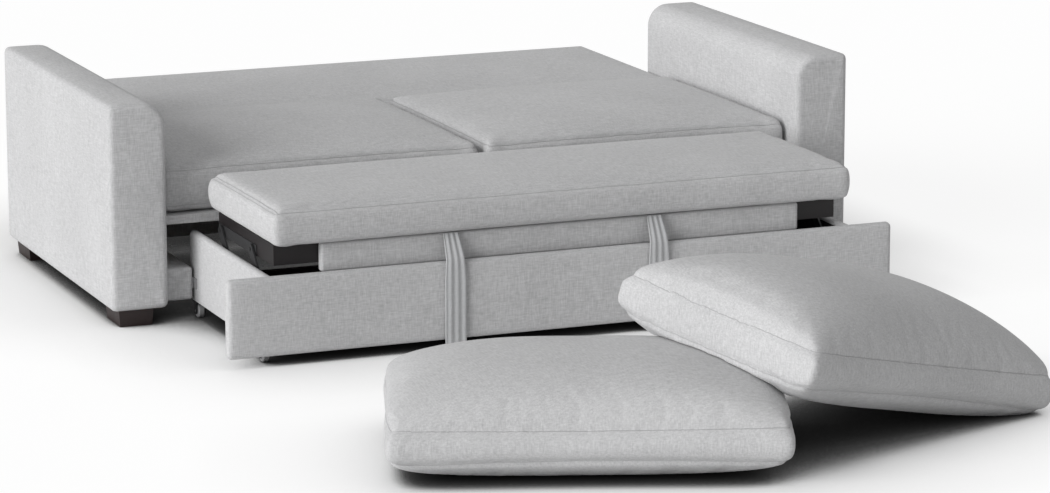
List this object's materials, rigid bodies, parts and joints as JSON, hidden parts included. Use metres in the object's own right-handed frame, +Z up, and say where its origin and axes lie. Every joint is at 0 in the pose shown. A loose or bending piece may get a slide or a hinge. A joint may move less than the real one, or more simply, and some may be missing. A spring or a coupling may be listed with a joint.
{
  "type": "sleeper sofa",
  "caption": "Wide upholstered sleeper sofa shown as a bed: back folded flat, drawer pulled out, bed cushion raised on link arms, loose back cushions on the floor.",
  "frame": {"origin": "middle of the footprint, on the floor", "axes": "+X to the right of the sofa seen from its front, +Y from front to back, +Z up"},
  "size_m": [2.262, 3.767, 0.628],
  "materials": {
    "grey_fabric": "woven, heathered light grey",
    "strap_fabric": "woven light grey webbing",
    "dark_wood": "dark stained, satin",
    "pine": "planed softwood",
    "dark_board": "dark painted board",
    "zinc_steel": "zinc plated",
    "dark_steel": "black powder coat",
    "grey_plastic": "matt",
    "white_nylon": "matt"
  },
  "bodies": {
    "sofa": {"arm_cover_left": "grey_fabric", "arm_frame_left": "pine", "foot_front_left": "dark_wood", "foot_rear_left": "dark_wood", "runner_block_left": "grey_fabric", "guide_rail_left": "zinc_steel", "seat_side_rail_left": "grey_fabric", "seat_cushion_left": "grey_fabric", "hinge_pin_left": "zinc_steel", "arm_cover_right": "grey_fabric", "arm_frame_right": "pine", "foot_front_right": "dark_wood", "foot_rear_right": "dark_wood", "runner_block_right": "grey_fabric", "guide_rail_right": "zinc_steel", "seat_side_rail_right": "grey_fabric", "seat_cushion_right": "grey_fabric", "hinge_pin_right": "zinc_steel", "foot_bolts": "zinc_steel", "seat_front_rail": "grey_fabric", "seat_rear_rail": "pine", "seat_slats": "pine", "seat_brackets": "zinc_steel", "rear_board": "grey_fabric", "back_ledges": "zinc_steel"},
    "backrest": {"back_cover": "grey_fabric", "back_frame": "pine", "hinge_bushes": "white_nylon"},
    "drawer": {"drawer_front_cover": "grey_fabric", "drawer_front_board": "dark_board", "drawer_side_left": "grey_fabric", "drawer_side_right": "grey_fabric", "drawer_floor": "dark_board", "drawer_rear_rail": "dark_board", "glide_pads": "white_nylon", "caster_forks": "dark_steel", "caster_axles": "zinc_steel", "drawer_pivot_plates": "zinc_steel", "pull_strap_left": "strap_fabric", "pull_strap_right": "strap_fabric"},
    "front_links": {"lift_link_front_left": "zinc_steel", "lift_link_front_right": "zinc_steel"},
    "rear_links": {"lift_link_rear_left": "zinc_steel", "lift_link_rear_right": "zinc_steel"},
    "platform": {"platform_board": "dark_board", "platform_side_rail_left": "dark_board", "platform_side_rail_right": "dark_board", "platform_front_rail": "dark_board", "platform_rear_rail": "dark_board", "platform_pivot_plate_left": "zinc_steel", "platform_pivot_plate_right": "zinc_steel", "bed_cushion": "grey_fabric", "apron_board": "grey_fabric"},
    "flat_cushion": {"back_cushion_flat": "grey_fabric"},
    "leaning_cushion": {"back_cushion_leaning": "grey_fabric"},
    "wheel_front_left": {"caster_wheel_front_left": "grey_plastic"},
    "wheel_front_right": {"caster_wheel_front_right": "grey_plastic"},
    "wheel_rear_left": {"caster_wheel_rear_left": "grey_plastic"},
    "wheel_rear_right": {"caster_wheel_rear_right": "grey_plastic"}
  },
  "joints": [
    {"name": "backrest_fold", "type": "hinge", "parent": "sofa", "child": "backrest", "pos_m": [0, 1.26815, 0.346], "axis": [1, 0, 0], "range_deg": [0, 80]},
    {"name": "drawer_slide", "type": "slide", "parent": "sofa", "child": "drawer", "axis": [0, 1, 0], "range_m": [0, 0.048]},
    {"name": "bed_lift", "type": "hinge", "parent": "drawer", "child": "front_links", "pos_m": [0, -0.19585, 0.13], "axis": [-1, 0, 0], "range_deg": [0, 51], "deforming": ["pull_strap_left", "pull_strap_right"]},
    {"name": "rear_link_turn", "type": "hinge", "parent": "drawer", "child": "rear_links", "pos_m": [0, 0.06415, 0.13], "axis": [-1, 0, 0], "range_deg": [0, 51]},
    {"name": "platform_level", "type": "hinge", "parent": "front_links", "child": "platform", "pos_m": [0, -0.05089, 0.27496], "axis": [-1, 0, 0], "range_deg": [-51, 0]},
    {"name": "flat_cushion_pick_up", "type": "slide", "parent": "sofa", "child": "flat_cushion", "axis": [0, 0, 1], "range_m": [0, 0.3]},
    {"name": "leaning_cushion_pick_up", "type": "slide", "parent": "flat_cushion", "child": "leaning_cushion", "axis": [0, 0, 1], "range_m": [0, 0.3]},
    {"name": "wheel_front_left_roll", "type": "hinge", "parent": "drawer", "child": "wheel_front_left", "pos_m": [-0.8595, -0.21185, 0.02], "axis": [1, 0, 0], "continuous": true},
    {"name": "wheel_front_right_roll", "type": "hinge", "parent": "drawer", "child": "wheel_front_right", "pos_m": [0.8595, -0.21185, 0.02], "axis": [1, 0, 0], "continuous": true},
    {"name": "wheel_rear_left_roll", "type": "hinge", "parent": "drawer", "child": "wheel_rear_left", "pos_m": [-0.8595, 0.34815, 0.02], "axis": [1, 0, 0], "continuous": true},
    {"name": "wheel_rear_right_roll", "type": "hinge", "parent": "drawer", "child": "wheel_rear_right", "pos_m": [0.8595, 0.34815, 0.02], "axis": [1, 0, 0], "continuous": true}
  ],
  "couplings": [
    {"joint": "rear_link_turn", "follows": "bed_lift", "ratio": 1},
    {"joint": "platform_level", "follows": "bed_lift", "ratio": -1}
  ]
}
